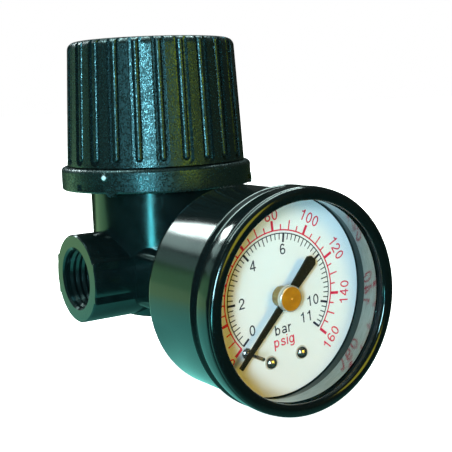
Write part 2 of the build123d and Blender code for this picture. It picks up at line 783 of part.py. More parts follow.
# Gauge stem and socket block
with BuildPart() as gauge_stem:
    with BuildSketch(deep()):
        band(0, stem_thread_radius, thread_start, gauge_boss_reach + slip_gap)
        band(0, stem_neck_radius, gauge_boss_reach, gauge_boss_reach + stem_neck_length)
        band(0, stem_flange_radius, case_floor, stem_flange_front)
    revolve(axis=gauge_axis)
    chamfer(edges().sort_by(Axis.Y)[-1], length=edge_break)
    with BuildSketch(facing(gauge_boss_reach + stem_neck_length)):
        RectangleRounded(stem_square, stem_square, stem_square_corner)
    extrude(amount=case_floor - gauge_boss_reach - stem_neck_length)
    with BuildSketch(facing(stem_flange_front)):
        with Locations((0, (socket_top - socket_bottom) / 2)):
            Rectangle(socket_width, socket_top + socket_bottom)
    extrude(amount=socket_low_height)
    with BuildSketch(facing(stem_flange_front)):
        with Locations((0, (socket_step - socket_bottom) / 2)):
            Rectangle(socket_width, socket_step + socket_bottom)
    extrude(amount=socket_height)
    with BuildSketch(facing(thread_start)):
        Circle(stem_bore_radius)
    extrude(amount=stem_flange_front - thread_start, mode=Mode.SUBTRACT)
    for spot in case_screw_spots:
        with BuildSketch(facing(case_floor, spot)):
            Circle(case_screw_radius + press_gap)
        extrude(amount=stem_flange_height, mode=Mode.SUBTRACT)
    for spot in movement_screw_spots:
        with BuildSketch(facing(socket_front, spot)):
            Circle(movement_screw_radius + press_gap)
        extrude(amount=-movement_screw_length, mode=Mode.SUBTRACT)
    with BuildSketch(deep(angle=tube_root - 360 - tip_span * 2)):
        band(tube_radius - tube_thickness / 2 - press_gap, tube_radius + tube_thickness / 2 + press_gap,
             tube_back - press_gap, tube_front + press_gap)
    revolve(axis=gauge_axis, revolution_arc=tip_span * 2, mode=Mode.SUBTRACT)
save(gauge_stem, "gauge_stem")

# Gauge case: steel cup with a bead that the bezel is rolled over
with BuildPart() as gauge_case:
    with BuildSketch(deep()):
        band(0, case_radius, case_back, case_front)
        fillet(vertices().group_by(Axis.X)[-1].sort_by(Axis.Y)[0], radius=case_back_round)
        band(case_radius, case_radius + case_bead_width, bead_back, bead_back + case_bead_length)
        band(0, case_radius - case_wall, case_floor, case_front, mode=Mode.SUBTRACT)
        band(0, case_hole_radius, case_back, case_floor, mode=Mode.SUBTRACT)
    revolve(axis=gauge_axis)
    for spot in case_screw_spots:
        with BuildSketch(facing(case_back, spot)):
            Circle(case_screw_radius + slip_gap)
        extrude(amount=case_wall, mode=Mode.SUBTRACT)
save(gauge_case, "gauge_case")

with BuildPart() as case_screws:
    for spot in case_screw_spots:
        with BuildSketch(deep(spot)):
            band(0, case_screw_head_radius, case_back - case_screw_head_height, case_back)
            band(0, case_screw_radius, case_back, case_floor + case_screw_length)
        revolve(axis=spindle(spot))
save(case_screws, "case_screws")

# Bourdon tube from the socket round to its tip, which carries the link's pin
with BuildPart() as bourdon_tube:
    with BuildSketch(deep(angle=tube_tip_angle)):
        band(tube_radius - tube_thickness / 2, tube_radius + tube_thickness / 2, tube_back, tube_front)
        fillet(vertices(), radius=tube_round)
        band(tube_radius - tube_thickness / 2 + tube_wall, tube_radius + tube_thickness / 2 - tube_wall,
             tube_back + tube_thickness / 2, tube_front - tube_thickness / 2, mode=Mode.SUBTRACT)
    revolve(axis=gauge_axis, revolution_arc=tube_root - tube_tip_angle)
save(bourdon_tube, "bourdon_tube")

with BuildPart() as tube_tip:
    with BuildSketch(deep(angle=tube_tip_angle - tip_span)):
        band(tube_radius - tube_thickness / 2 - tip_skin, tube_radius + tube_thickness / 2 + tip_skin,
             tube_back - tip_skin, tube_front + tip_skin)
    revolve(axis=gauge_axis, revolution_arc=tip_span)
    with BuildSketch(facing(tube_front, (tip_pin.X, tip_pin.Y))):
        Circle(2 * link_pin_radius)
    extrude(amount=link_back - turn_gap - tube_front)
    with BuildSketch(facing(tube_front, (tip_pin.X, tip_pin.Y))):
        Circle(link_pin_radius)
    extrude(amount=link_back + 2 * link_thickness - tube_front)
save(tube_tip, "tube_tip")

# Movement: two plates on pillars, with the sector between them
with BuildPart() as movement_back_plate:
    with BuildSketch(facing(socket_front)):
        plate_outline(pivot, *pillar_spots)
        with Locations(*movement_screw_spots):
            Circle(movement_screw_radius + slip_gap, mode=Mode.SUBTRACT)
    extrude(amount=plate_sheet)
save(movement_back_plate, "movement_back_plate")

with BuildPart() as movement_front_plate:
    with BuildSketch(facing(front_plate_back)):
        plate_outline(pivot, pillar_spots[0], *dial_screw_spots)
        with Locations(*dial_screw_spots):
            Circle(dial_screw_radius + press_gap, mode=Mode.SUBTRACT)
    extrude(amount=plate_sheet)
save(movement_front_plate, "movement_front_plate")

with BuildPart() as movement_pillars:
    with BuildSketch(facing(back_plate_front)):
        with Locations(*pillar_spots):
            Circle(pillar_radius)
    extrude(amount=plate_space)
save(movement_pillars, "movement_pillars")

with BuildPart() as movement_screws:
    for spot in movement_screw_spots:
        with BuildSketch(deep(spot)):
            band(0, movement_screw_head_radius,
                 back_plate_front, back_plate_front + movement_screw_head_height)
            band(0, movement_screw_radius,
                 socket_front - movement_screw_length + press_gap, back_plate_front)
        revolve(axis=spindle(spot))
save(movement_screws, "movement_screws")

# Sector: toothed rim, web with a hole, and a tail whose pin pulls the link
tooth_step = 360 / sector_teeth
rim_end = 90 + tooth_step * (teeth_past_mesh + 0.5)
rim_start = rim_end - tooth_step * sector_teeth_cut
rim_middle = (rim_start + rim_end) / 2
with BuildPart() as sector_gear:
    with BuildSketch(facing(sector_back, pivot)):
        Circle(sector_root)
        Polygon((0, 0), *(polar(2 * sector_root, angle) for angle in (rim_start, rim_middle, rim_end)),
                align=None, mode=Mode.INTERSECT)
        with Locations(polar(web_hole_distance, rim_middle)):
            Circle(web_hole_radius, mode=Mode.SUBTRACT)
        for place in range(sector_teeth_cut):
            tooth(sector_teeth, 90 + tooth_step * (teeth_past_mesh - place))
        with Locations(polar(tail_length / 2, tail_angle)):
            Rectangle(tail_length, tail_width, rotation=tail_angle)
        with Locations(polar(tail_length, tail_angle)):
            Circle(tail_width / 2)
        Circle(sector_hub_radius)
        Circle(sector_arbor_radius + press_gap, mode=Mode.SUBTRACT)
    extrude(amount=sector_thickness)
    with BuildSketch(facing(sector_back, (tail_pin.X, tail_pin.Y))):
        Circle(link_pin_radius)
    extrude(amount=link_back - sector_back)
save(sector_gear, "sector_gear")

with BuildPart() as sector_arbor:
    with BuildSketch(facing(socket_front + turn_gap, pivot)):
        Circle(sector_arbor_radius)
    extrude(amount=dial_back - socket_front - 2 * turn_gap)
save(sector_arbor, "sector_arbor")

# Link from the sector's tail to the tube's tip, whose pin slides in a slot
link_reach = (tip_pin - tail_pin).length
link_reach_swung = (tip_pin - tail_pin_swung).length
with BuildPart() as link:
    with BuildSketch(facing(link_back, (tail_pin.X, tail_pin.Y), link_angle)):
        SlotCenterPoint((link_reach / 2, 0), (link_reach + link_slot_spare, 0), link_width)
        Circle(link_pin_radius + turn_gap, mode=Mode.SUBTRACT)
        SlotCenterPoint(((link_reach + link_reach_swung) / 2, 0), (link_reach + link_slot_spare, 0),
                        2 * (link_pin_radius + link_slot_gap), mode=Mode.SUBTRACT)
    extrude(amount=link_thickness)
save(link, "link")

# Pointer spindle with its pinion and the hairspring's collet
with BuildPart() as pinion_arbor:
    with BuildSketch(facing(pinion_back)):
        Circle(tooth_module * pinion_teeth / 2 - 1.25 * tooth_module)
        for place in range(pinion_teeth):
            tooth(pinion_teeth, -90 + 360 / pinion_teeth * (place + 0.5))
    extrude(amount=pinion_length)
    with BuildSketch(deep()):
        band(0, arbor_radius, socket_front + turn_gap, pointer_front + pointer_sheet)
        band(0, collet_radius, collet_back, front_plate_back - turn_gap)
    revolve(axis=gauge_axis)
save(pinion_arbor, "pinion_arbor")

with BuildPart() as hairspring:
    with BuildSketch(facing(hair_back)):
        with BuildLine():
            for half_turn in range(hair_half_turns):
                middle = hair_step * (half_turn % 2)
                CenterArc((middle, 0), hair_start + hair_step * half_turn, 180 * (half_turn % 2), 180)
        trace(line_width=hair_thickness)
    extrude(amount=hair_width)
save(hairspring, "hairspring")

# Dial and what stands on it
with BuildPart() as dial_plate:
    with BuildSketch(facing(dial_back)):
        Circle(dial_radius)
        Circle(dial_hole_radius, mode=Mode.SUBTRACT)
        with Locations(*dial_screw_spots):
            Circle(dial_screw_radius + press_gap, mode=Mode.SUBTRACT)
        with Locations(stop_pin_spot):
            Circle(stop_pin_radius + press_gap, mode=Mode.SUBTRACT)
    extrude(amount=dial_thickness)
save(dial_plate, "dial_plate")

with BuildPart() as dial_screws:
    for spot in dial_screw_spots:
        with BuildSketch(deep(spot)):
            dome(dial_screw_head_radius, dial_screw_head_height, dial_face)
            band(0, dial_screw_radius, front_plate_back + press_gap, dial_face)
        revolve(axis=spindle(spot))
save(dial_screws, "dial_screws")

with BuildPart() as stop_pin:
    with BuildSketch(deep(stop_pin_spot)):
        dome(stop_base_radius, stop_base_height, dial_face)
        band(0, stop_pin_radius, dial_back, lens_back - stop_pin_gap)
    revolve(axis=spindle(stop_pin_spot))
save(stop_pin, "stop_pin")

# Pointer at its stop, riveted on its hub
with BuildPart() as pointer:
    with BuildSketch(facing(pointer_back, angle=pointer_rest)):
        tail_half = pointer_tail_width / 2
        Polygon((pointer_reach, -pointer_tip_width / 2), (pointer_reach, pointer_tip_width / 2),
                (0, pointer_root_width / 2), (pointer_tail_slant - pointer_tail_reach, tail_half),
                (-pointer_tail_reach, tail_half - pointer_tail_slant),
                (-pointer_tail_reach, pointer_tail_slant - tail_half),
                (pointer_tail_slant - pointer_tail_reach, -tail_half), (0, -pointer_root_width / 2),
                align=None)
        Circle(pointer_eye_radius)
        Circle(hub_neck_radius + press_gap, mode=Mode.SUBTRACT)
    extrude(amount=pointer_sheet)
save(pointer, "pointer")

with BuildPart() as pointer_hub:
    with BuildSketch(deep()):
        band(0, hub_radius, pointer_front, hub_front)
        fillet(vertices().group_by(Axis.Y)[-1].sort_by(Axis.X)[-1], radius=hub_dimple)
        band(0, hub_neck_radius, pointer_back, pointer_front)
        band(0, hub_tube_radius, dial_face + hub_dimple, pointer_back)
        band(0, arbor_radius + press_gap, dial_face + hub_dimple, pointer_front + pointer_sheet + press_gap,
             mode=Mode.SUBTRACT)
        Polygon((0, hub_front - hub_dimple), (hub_dimple, hub_front), (0, hub_front), align=None,
                mode=Mode.SUBTRACT)
    revolve(axis=gauge_axis)
save(pointer_hub, "pointer_hub")

# Window: bright ring inside the case, gasket, lens and bezel
with BuildPart() as lens_ring:
    with BuildSketch(deep()):
        band(ring_inside, ring_outside, case_front - lens_ring_length, case_front)
        band(ring_inside - lens_ring_lip, ring_inside, case_front - lens_ring_lip_length, case_front)
    revolve(axis=gauge_axis)
save(lens_ring, "lens_ring")

with BuildPart() as lens_gasket:
    with BuildSketch(deep()):
        band(case_radius - case_wall, lens_radius, case_front, lens_back)
    revolve(axis=gauge_axis)
save(lens_gasket, "lens_gasket")

with BuildPart() as lens:
    with BuildSketch(facing(lens_back)):
        Circle(lens_radius)
    extrude(amount=lens_thickness)
save(lens, "lens")

with BuildPart() as bezel:
    with BuildSketch(deep()):
        band(window_radius, bezel_radius, bezel_back, bezel_front)
        fillet(vertices().group_by(Axis.Y)[-1].sort_by(Axis.X)[-1], radius=bezel_round)
        fillet(vertices().group_by(Axis.Y)[-1].sort_by(Axis.X)[0], radius=window_round)
        band(bezel_radius - bezel_crimp, bezel_radius, bezel_back, bezel_back + bezel_tail - bezel_sheet,
             mode=Mode.SUBTRACT)
        fillet(vertices().sort_by(Axis.X)[-2:].sort_by(Axis.Y)[0], radius=bezel_crimp_round)
        band(window_radius, case_radius + turn_gap, bezel_back, lens_front, mode=Mode.SUBTRACT)
        band(window_radius, bezel_inside, bezel_back + bezel_tail, lens_front, mode=Mode.SUBTRACT)
        band(bezel_radius - bezel_groove, bezel_radius, bezel_front - bezel_groove_setback - bezel_groove,
             bezel_front - bezel_groove_setback + bezel_groove, mode=Mode.SUBTRACT)
    revolve(axis=gauge_axis)
save(bezel, "bezel")
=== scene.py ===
import math

import bmesh
import bpy
from mathutils import Matrix, Vector


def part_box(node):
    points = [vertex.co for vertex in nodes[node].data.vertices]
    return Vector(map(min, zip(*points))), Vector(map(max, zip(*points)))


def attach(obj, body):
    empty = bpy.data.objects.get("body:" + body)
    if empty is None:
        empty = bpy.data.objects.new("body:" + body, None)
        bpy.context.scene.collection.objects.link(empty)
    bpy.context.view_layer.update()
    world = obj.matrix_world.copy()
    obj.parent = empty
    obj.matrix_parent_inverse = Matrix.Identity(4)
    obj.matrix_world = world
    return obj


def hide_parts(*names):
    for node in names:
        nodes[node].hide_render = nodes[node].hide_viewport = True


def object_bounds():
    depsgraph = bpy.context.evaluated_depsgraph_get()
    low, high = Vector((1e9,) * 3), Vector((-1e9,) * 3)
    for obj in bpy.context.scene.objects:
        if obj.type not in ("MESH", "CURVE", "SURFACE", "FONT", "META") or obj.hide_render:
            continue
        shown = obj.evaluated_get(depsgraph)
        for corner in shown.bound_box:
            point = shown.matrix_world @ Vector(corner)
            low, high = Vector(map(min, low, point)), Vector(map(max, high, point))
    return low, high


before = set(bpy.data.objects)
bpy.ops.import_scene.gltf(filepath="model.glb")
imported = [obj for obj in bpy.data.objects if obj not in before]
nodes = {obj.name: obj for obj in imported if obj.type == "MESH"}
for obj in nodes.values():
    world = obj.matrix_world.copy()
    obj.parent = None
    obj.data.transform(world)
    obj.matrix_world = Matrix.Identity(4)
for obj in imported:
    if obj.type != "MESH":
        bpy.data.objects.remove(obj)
cad_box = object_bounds()

# Everything is in metres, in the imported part's frame: +X from the inlet to the outlet, +Z up along
# the knob, and the gauge faces -Y.
MM = 0.001
FULL_TURN = 2 * math.pi

# Places read from the frame
dial_low, dial_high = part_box("dial_plate")
hub_low, hub_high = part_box("pointer_hub")
OUTLET_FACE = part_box("body")[1].x
DIAL_FACE = dial_low.y
GAUGE_X = (dial_low.x + dial_high.x) / 2
GAUGE_Z = (dial_low.z + dial_high.z) / 2
GAUGE_CENTRE = (GAUGE_X, 0, GAUGE_Z)
KNOB_CENTRE = (GAUGE_X, 0, 0)  # the knob's axis crosses the gauge's

# Camera fitted to the photograph
CAMERA_PLACE = Vector((-79.5166, -176.3478, 36.3176)) * MM
CAMERA_AZIMUTH = math.radians(-33.6733)
CAMERA_ELEVATION = math.radians(7.8972)
CAMERA_ROLL = math.radians(-2.2418)
CAMERA_LENS = 74.380  # millimetres, as is the sensor
CAMERA_SENSOR = 36
CAMERA_NEAR = 0.01


# Node helpers
def start_material(name, base, roughness, metallic=0.0, specular=0.5, tint=(1, 1, 1)):
    """New material with these constants on its shader. Returns it, its tree and the shader."""
    material = bpy.data.materials.new(name)
    material.use_nodes = True
    tree = material.node_tree
    shader = tree.nodes["Principled BSDF"]
    shader.inputs["Base Color"].default_value = (*base, 1)
    shader.inputs["Roughness"].default_value = roughness
    shader.inputs["Metallic"].default_value = metallic
    shader.inputs["Specular IOR Level"].default_value = specular
    shader.inputs["Specular Tint"].default_value = (*tint, 1)
    return material, tree, shader


def placed(tree, stretch=(1, 1, 1), origin=(0, 0, 0)):
    """Object coordinates in metres from this origin, stretched along each axis."""
    coordinates = tree.nodes.new("ShaderNodeTexCoord")
    mapping = tree.nodes.new("ShaderNodeMapping")
    mapping.inputs["Location"].default_value = [-o * s for o, s in zip(origin, stretch)]
    mapping.inputs["Scale"].default_value = stretch
    tree.links.new(coordinates.outputs["Object"], mapping.inputs["Vector"])
    return mapping.outputs["Vector"]


def axes_of(tree, vector):
    """The three parts of a vector."""
    parts = tree.nodes.new("ShaderNodeSeparateXYZ")
    tree.links.new(vector, parts.inputs["Vector"])
    return parts.outputs["X"], parts.outputs["Y"], parts.outputs["Z"]


def distance_from(tree, origin, stretch=(1, 1, 1)):
    """Distance in metres from this point."""
    length = tree.nodes.new("ShaderNodeVectorMath")
    length.operation = "LENGTH"
    tree.links.new(placed(tree, stretch, origin), length.inputs[0])
    return length.outputs["Value"]


def noise(tree, scale, detail=2.0, stretch=(1, 1, 1)):
    """Noise from 0 to 1, with this many cells in a metre."""
    texture = tree.nodes.new("ShaderNodeTexNoise")
    texture.inputs["Scale"].default_value = scale
    texture.inputs["Detail"].default_value = detail
    tree.links.new(placed(tree, stretch), texture.inputs["Vector"])
    return texture.outputs["Fac"]


def cells(tree, scale):
    """Distance inside each cell and a value of its own, with this many cells in a metre."""
    texture = tree.nodes.new("ShaderNodeTexVoronoi")
    texture.inputs["Scale"].default_value = scale
    tree.links.new(placed(tree), texture.inputs["Vector"])
    parts = tree.nodes.new("ShaderNodeSeparateColor")
    tree.links.new(texture.outputs["Color"], parts.inputs["Color"])
    return texture.outputs["Distance"], parts.outputs[0]


def turned_marks(tree, origin, axis, pitch):
    """Rings round an axis through this point, as a lathe leaves them, from 0 to 1."""
    wave = tree.nodes.new("ShaderNodeTexWave")
    wave.wave_type = "RINGS"
    wave.rings_direction = axis
    wave.inputs["Scale"].default_value = math.pi / (10 * pitch)
    wave.inputs["Distortion"].default_value = 0.6
    wave.inputs["Detail"].default_value = 2.0
    wave.inputs["Detail Scale"].default_value = 3.0
    tree.links.new(placed(tree, origin=origin), wave.inputs["Vector"])
    return wave.outputs["Fac"]


def spread(tree, factor, low, high, start=0.3, end=0.7):
    """Value that runs from low to high as the factor runs from start to end."""
    span = tree.nodes.new("ShaderNodeMapRange")
    span.inputs["From Min"].default_value = start
    span.inputs["From Max"].default_value = end
    span.inputs["To Min"].default_value = low
    span.inputs["To Max"].default_value = high
    tree.links.new(factor, span.inputs["Value"])
    return span.outputs["Result"]


def blend_colours(tree, factor, first, second):
    """Colour between two, by the factor. Each is a colour or a socket."""
    mix = tree.nodes.new("ShaderNodeMix")
    mix.data_type = "RGBA"
    sockets = [socket for socket in mix.inputs if socket.type == "RGBA"]
    for socket, colour in zip(sockets, (first, second)):
        if isinstance(colour, tuple):
            socket.default_value = (*colour, 1)
        else:
            tree.links.new(colour, socket)
    tree.links.new(factor, mix.inputs[0])
    return [socket for socket in mix.outputs if socket.type == "RGBA"][0]


def math_node(tree, operation, *values):
    """Result of one math operation on sockets or numbers."""
    node = tree.nodes.new("ShaderNodeMath")
    node.operation = operation
    for socket, value in zip(node.inputs, values):
        if isinstance(value, (int, float)):
            socket.default_value = value
        else:
            tree.links.new(value, socket)
    return node.outputs["Value"]


def raise_surface(tree, shader, height, distance):
    """Bump of this distance in metres. A second call adds to the first."""
    bump = tree.nodes.new("ShaderNodeBump")
    bump.inputs["Distance"].default_value = distance
    bump.inputs["Strength"].default_value = 1.0
    before = shader.inputs["Normal"].links
    if before:
        tree.links.new(before[0].from_socket, bump.inputs["Normal"])
    tree.links.new(height, bump.inputs["Height"])
    tree.links.new(bump.outputs["Normal"], shader.inputs["Normal"])


def finish_surface(tree, shader, colour, roughness, height, distance):
    """Link a surface's colour and roughness, and raise it by this distance in metres."""
    tree.links.new(colour, shader.inputs["Base Color"])
    tree.links.new(roughness, shader.inputs["Roughness"])
    raise_surface(tree, shader, height, distance)


# Materials
PLASTIC_BLACK = (0.003, 0.006, 0.0055)
PLASTIC_GRAIN = 3600  # cells of the mould's grain in a metre
PIP_CENTRE = (2.7 * MM, -10.2 * MM, 21.3 * MM)  # of the small pip on the collar's inlet side
PIP_HIGHLIGHT_RADIUS = 0.42 * MM  # radius of the highlight painted on it
PIP_FADE = 0.12 * MM
LATHE_PITCH = 0.12 * MM
HUB_PITCH = 0.16 * MM
HUB_RIM = 0.3 * MM  # width of the hub's bare edge
HUB_FACE_RADIUS = (hub_high.x - hub_low.x) / 2 - HUB_RIM
HUB_COAT_DEPTH = 0.35 * MM  # behind the hub's front, where its lacquer ends
BUSH_DEPTH = 0.9 * MM  # behind the hub's front, where its narrower bush begins
HUB_FADE = 0.1 * MM  # from one finish of the hub to the next
LENS_MIRROR = 0.04  # share that the lens mirrors straight on
LENS_SLANT = 0.95  # and how much more at a slant


def moulded_plastic(name, base, grain_depth, pip=None):
    """Black plastic from a spark-eroded mould: a fine grain that sparkles in the light, and a
    highlight painted on the pip if one is given.
    """
    material, tree, shader = start_material(name, base, 0.4, tint=(0.42, 0.97, 1))
    dimple, facet = cells(tree, PLASTIC_GRAIN)
    pale = tuple(2.4 * c for c in base)
    colour = blend_colours(tree, spread(tree, facet, 0, 1, 0.4, 0.9), base, pale)
    if pip:
        # Painted highlight: a pale grey spot on the pip stands in for the light it catches.
        wear_and_highlight = spread(tree, distance_from(tree, pip), 1, 0, PIP_HIGHLIGHT_RADIUS, PIP_HIGHLIGHT_RADIUS + PIP_FADE)
        colour = blend_colours(tree, wear_and_highlight, colour, (0.55, 0.66, 0.68))
    finish_surface(tree, shader, colour, spread(tree, facet, 0.5, 0.16, 0.2, 0.85),
                   dimple, grain_depth)
    return material


def cast_paint():
    """Satin black paint over die-cast metal: smooth, slightly wavy."""
    base = (0.002, 0.005, 0.005)
    material, tree, shader = start_material("body_paint", base, 0.18, tint=(0.5, 1, 0.95))
    waves = noise(tree, 420, detail=3)
    colour = blend_colours(tree, spread(tree, waves, 0, 1), base, (0.004, 0.008, 0.008))
    finish_surface(tree, shader, colour, spread(tree, waves, 0.15, 0.21), waves, 3e-6)
    raise_surface(tree, shader, noise(tree, 3000), 1.5e-6)
    return material


def gloss_paint():
    """Glossy black paint on pressed steel, with a trace of orange peel and a veil of fine dust."""
    base = (0.002, 0.004, 0.004)
    material, tree, shader = start_material("case_gloss", base, 0.12, tint=(0.7, 1, 0.95))
    dust = spread(tree, noise(tree, 3600, detail=1), 0, 1, 0.6, 0.85)
    veil = spread(tree, noise(tree, 90, detail=4), 0.09, 0.17)
    finish_surface(tree, shader, blend_colours(tree, dust, base, (0.012, 0.016, 0.014)), veil,
                   noise(tree, 420, detail=1), 2e-6)
    return material


def turned_metal(name, dark, light, origin, axis):
    """Metal turned on a lathe: rings round its axis, and patches where it has tarnished."""
    material, tree, shader = start_material(name, light, 0.16, metallic=1.0)
    patches = noise(tree, 420, detail=5)
    colour = blend_colours(tree, spread(tree, patches, 0, 1, 0.35, 0.68), light, dark)
    finish_surface(tree, shader, colour, spread(tree, patches, 0.16, 0.32),
                   turned_marks(tree, origin, axis, LATHE_PITCH), 1.5e-6)
    return material


def machined_brass(name, base, rough):
    """Cut and milled brass: fine scratches across, darker where it has been handled."""
    material, tree, shader = start_material(name, base, rough, metallic=1.0)
    scratches = noise(tree, 1500, detail=3, stretch=(1, 1, 8))
    dull = tuple(0.6 * c for c in base)
    colour = blend_colours(tree, spread(tree, noise(tree, 300, detail=4), 0, 1), base, dull)
    finish_surface(tree, shader, colour, spread(tree, scratches, rough - 0.1, rough + 0.1),
                   scratches, 1.5e-6)
    return material


def plated_steel(name, base, smooth, rough, stretch=(1, 1, 6), depth=1.2e-6):
    """Plated or polished steel: fine marks along one way, and a roughness that wanders."""
    material, tree, shader = start_material(name, base, smooth, metallic=1.0)
    marks = noise(tree, 1600, detail=3, stretch=stretch)
    wear_and_highlight = tuple(0.72 * c for c in base)
    colour = blend_colours(tree, spread(tree, noise(tree, 260, detail=3), 0, 1), base, wear_and_highlight)
    finish_surface(tree, shader, colour, spread(tree, marks, smooth, rough), marks, depth)
    return material


def rubber():
    """Black rubber: matt, with talc left in its pores."""
    base = (0.018, 0.019, 0.019)
    material, tree, shader = start_material("moulded_rubber", base, 0.62, specular=0.3)
    pores = noise(tree, 2600, detail=4)
    colour = blend_colours(tree, spread(tree, pores, 0, 1, 0.55, 0.8), base, (0.07, 0.07, 0.068))
    finish_surface(tree, shader, colour, spread(tree, pores, 0.52, 0.75), pores, 8e-6)
    return material


def acetal():
    """Natural acetal: milky white, slightly waxy."""
    base = (0.78, 0.77, 0.71)
    material, tree, shader = start_material("natural_acetal", base, 0.38)
    shader.inputs["Subsurface Weight"].default_value = 0.15
    shader.inputs["Subsurface Radius"].default_value = (0.0012, 0.001, 0.0008)
    cloud = noise(tree, 240, detail=3)
    colour = blend_colours(tree, spread(tree, cloud, 0, 1), base, (0.7, 0.68, 0.6))
    finish_surface(tree, shader, colour, spread(tree, cloud, 0.32, 0.46), noise(tree, 1800), 3e-6)
    return material


def dial_paint():
    """Matt white enamel with a cool cast, fine dust in it and a faint rolled texture."""
    base = (0.93, 0.94, 0.94)
    material, tree, shader = start_material("dial_enamel", base, 0.5, specular=0.3)
    cloud = noise(tree, 130, detail=3)
    dust = spread(tree, noise(tree, 3400, detail=1), 0, 0.35, 0.76, 0.86)
    clouded = blend_colours(tree, spread(tree, cloud, 0, 1), base, (0.89, 0.92, 0.92))
    finish_surface(tree, shader, blend_colours(tree, dust, clouded, (0.5, 0.55, 0.52)),
                   spread(tree, cloud, 0.42, 0.56), noise(tree, 1500), 2e-6)
    return material


def print_ink(name, base):
    """Screen-printed ink: thin, a little uneven in colour and gloss."""
    material, tree, shader = start_material(name, base, 0.5, specular=0.3)
    cover = noise(tree, 2600, detail=3)
    thin = tuple(min(1.0, 1.5 * c + 0.03) for c in base)
    colour = blend_colours(tree, spread(tree, cover, 0, 1, 0.5, 0.8), base, thin)
    finish_surface(tree, shader, colour, spread(tree, cover, 0.42, 0.6), cover, 2e-6)
    return material


def pointer_paint():
    """Matt black paint with a brown cast on thin brass, rubbed at a few points."""
    base = (0.008, 0.006, 0.003)
    material, tree, shader = start_material("pointer_paint", base, 0.5, specular=0.25)
    grain = noise(tree, 2400, detail=3)
    colour = blend_colours(tree, spread(tree, grain, 0, 1, 0.5, 0.8), base, (0.026, 0.018, 0.006))
    finish_surface(tree, shader, colour, spread(tree, grain, 0.36, 0.55), grain, 3e-6)
    return material


def lacquered_hub():
    """Turned hub: amber lacquer on its front, a bare bright edge, and dull brass on the bush."""
    amber = (0.78, 0.32, 0.008)
    material, tree, shader = start_material("lacquered_hub", amber, 0.36, metallic=0.5)
    x, y, z = axes_of(tree, placed(tree, origin=(GAUGE_X, hub_low.y, GAUGE_Z)))
    radius = math_node(tree, "SQRT", math_node(tree, "ADD", math_node(tree, "POWER", x, 2.0),
                                               math_node(tree, "POWER", z, 2.0)))
    edge = spread(tree, radius, 0, 1, HUB_FACE_RADIUS, HUB_FACE_RADIUS + HUB_FADE)
    side = spread(tree, y, 0, 1, HUB_COAT_DEPTH, HUB_COAT_DEPTH + HUB_FADE)
    bush = spread(tree, y, 0, 1, BUSH_DEPTH - HUB_FADE / 2, BUSH_DEPTH + HUB_FADE / 2)
    bare = math_node(tree, "MAXIMUM", edge, side)
    coated = blend_colours(tree, spread(tree, noise(tree, 700, detail=4), 0, 1), amber,
                           (0.62, 0.24, 0.006))
    front = blend_colours(tree, bare, coated, (0.66, 0.64, 0.56))
    finish_surface(tree, shader, blend_colours(tree, bush, front, (0.3, 0.2, 0.07)),
                   math_node(tree, "MULTIPLY_ADD", bare, -0.2, 0.42),
                   turned_marks(tree, GAUGE_CENTRE, "Y", HUB_PITCH), 1.5e-6)
    return material


def window():
    """Clear acrylic: what lies behind shows through, and it only mirrors, more at a slant."""
    material, tree, shader = start_material("clear_acrylic", (0.92, 1, 0.98), 0.012, metallic=1.0)
    facing = tree.nodes.new("ShaderNodeLayerWeight")
    facing.inputs["Blend"].default_value = 0.5
    slant = math_node(tree, "POWER", facing.outputs["Facing"], 5.0)
    share = math_node(tree, "MULTIPLY_ADD", slant, LENS_SLANT, LENS_MIRROR)
    tree.links.new(share, shader.inputs["Alpha"])
    smear = spread(tree, noise(tree, 120, detail=4), 0.006, 0.03)
    tree.links.new(smear, shader.inputs["Roughness"])
    return material


def mirror_ring():
    """Bright spacer ring between dial and lens: rolled steel, brushed round the gauge."""
    base = (0.29, 0.34, 0.34)
    material, tree, shader = start_material("bright_ring", base, 0.14, metallic=1.0)
    rolled = noise(tree, 500, detail=3, stretch=(1, 9, 1))
    colour = blend_colours(tree, spread(tree, rolled, 0, 1), base, (0.2, 0.25, 0.25))
    finish_surface(tree, shader, colour, spread(tree, rolled, 0.08, 0.2), rolled, 1.2e-6)
    return material


